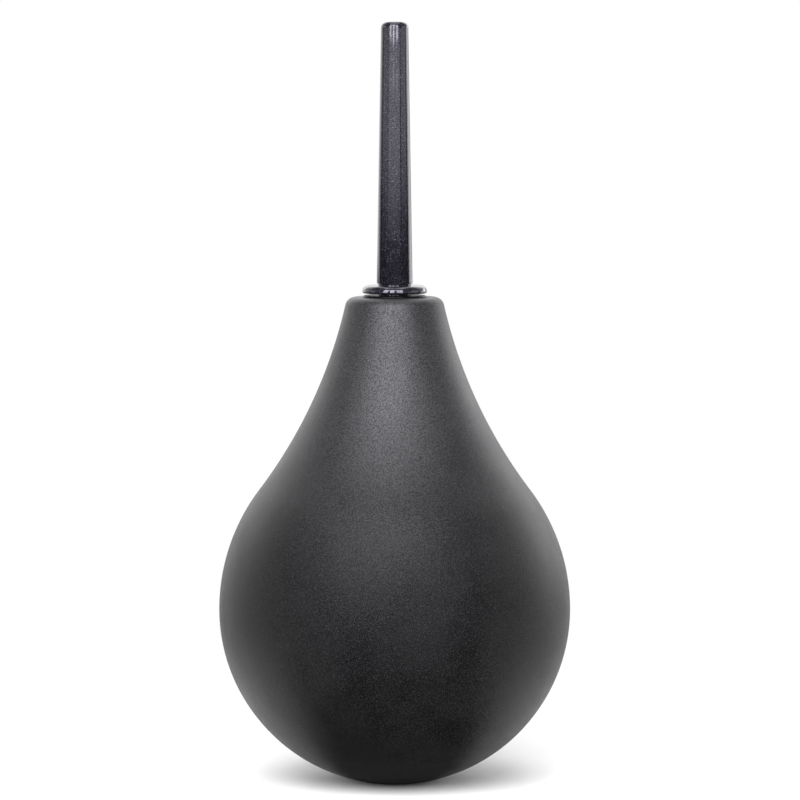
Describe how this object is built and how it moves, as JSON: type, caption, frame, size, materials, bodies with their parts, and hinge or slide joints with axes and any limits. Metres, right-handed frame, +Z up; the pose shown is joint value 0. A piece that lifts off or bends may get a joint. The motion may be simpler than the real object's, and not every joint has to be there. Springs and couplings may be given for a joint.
{
  "type": "bulb syringe",
  "caption": "Pear-shaped soft squeeze bulb with a long tapered rigid nozzle that turns and pulls out of its neck.",
  "frame": {"origin": "centre of the flat foot under the bulb, on the surface it stands on", "axes": "+Z up the axis of the bulb to the nozzle's tip; the object is round about Z, so +X and +Y are free"},
  "size_m": [0.088, 0.088, 0.1905],
  "materials": {
    "bulb_rubber": "fine matt, lightly dusty",
    "socket_plastic": "polished",
    "seal_rubber": "smooth, lightly greased",
    "nozzle_plastic": "polished"
  },
  "bodies": {
    "bulb": {"bulb": "bulb_rubber"},
    "neck": {"neck_socket": "socket_plastic"},
    "seal": {"o_ring": "seal_rubber"},
    "nozzle": {"nozzle": "nozzle_plastic"}
  },
  "joints": [
    {"name": "bulb_squeeze", "type": "slide", "parent": "bulb", "child": "neck", "axis": [0, 0, -1], "range_m": [0, 0.025], "stiffness_N_per_m": 1200, "deforming": ["bulb"]},
    {"name": "nozzle_pull", "type": "slide", "parent": "neck", "child": "seal", "axis": [0, 0, 1], "range_m": [0, 0.03]},
    {"name": "nozzle_turn", "type": "hinge", "parent": "seal", "child": "nozzle", "pos_m": [0, 0, 0.11345], "axis": [0, 0, 1], "continuous": true}
  ]
}
